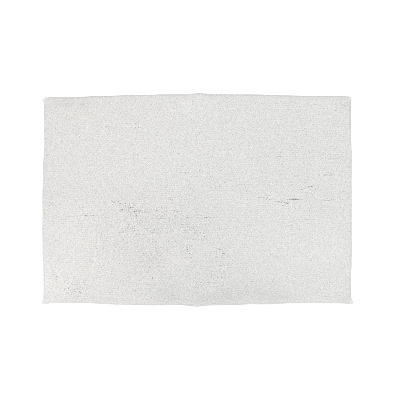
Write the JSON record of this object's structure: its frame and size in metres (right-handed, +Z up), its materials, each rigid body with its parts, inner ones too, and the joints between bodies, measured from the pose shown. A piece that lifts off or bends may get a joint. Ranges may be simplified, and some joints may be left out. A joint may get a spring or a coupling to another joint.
{
  "type": "bath mat",
  "caption": "Rectangular tufted cotton bath mat with turned and stitched hems, for a wet floor beside a bath or shower.",
  "frame": {"origin": "middle of the underside, on the floor", "axes": "+X along the mat's length, +Y across its width, +Z up out of the pile"},
  "size_m": [0.9096, 0.614, 0.015],
  "materials": {
    "pile_yarn": "off-white cut cotton pile",
    "canvas": "off-white woven cotton canvas",
    "seam_thread": "white spun sewing thread",
    "latex": "matte off-white latex",
    "label_weave": "plain white woven tape, blank"
  },
  "bodies": {
    "root": {"ground_cloth": "canvas", "nonslip_coat": "latex", "care_label": "label_weave", "hem_front": "canvas", "hem_back": "canvas", "hem_left": "canvas", "hem_right": "canvas", "needle_thread_front": "seam_thread", "needle_thread_back": "seam_thread", "needle_thread_left": "seam_thread", "needle_thread_right": "seam_thread", "bobbin_thread_front": "seam_thread", "bobbin_thread_back": "seam_thread", "bobbin_thread_left": "seam_thread", "bobbin_thread_right": "seam_thread", "pile_rows_01": "pile_yarn", "pile_rows_02": "pile_yarn", "pile_rows_03": "pile_yarn", "pile_rows_04": "pile_yarn", "pile_rows_05": "pile_yarn", "pile_rows_06": "pile_yarn", "pile_rows_07": "pile_yarn", "pile_rows_08": "pile_yarn", "pile_rows_09": "pile_yarn", "pile_rows_10": "pile_yarn", "pile_rows_11": "pile_yarn", "pile_rows_12": "pile_yarn", "pile_rows_13": "pile_yarn", "pile_rows_14": "pile_yarn", "pile_rows_15": "pile_yarn", "pile_rows_16": "pile_yarn", "pile_rows_17": "pile_yarn", "pile_rows_18": "pile_yarn", "pile_rows_19": "pile_yarn", "pile_rows_20": "pile_yarn", "pile_rows_21": "pile_yarn", "pile_rows_22": "pile_yarn", "pile_rows_23": "pile_yarn", "pile_rows_24": "pile_yarn", "pile_rows_25": "pile_yarn", "pile_rows_26": "pile_yarn", "pile_rows_27": "pile_yarn", "pile_rows_28": "pile_yarn", "pile_rows_29": "pile_yarn", "pile_rows_30": "pile_yarn", "pile_rows_31": "pile_yarn", "pile_rows_32": "pile_yarn", "pile_rows_33": "pile_yarn", "pile_rows_34": "pile_yarn"}
  },
  "joints": []
}
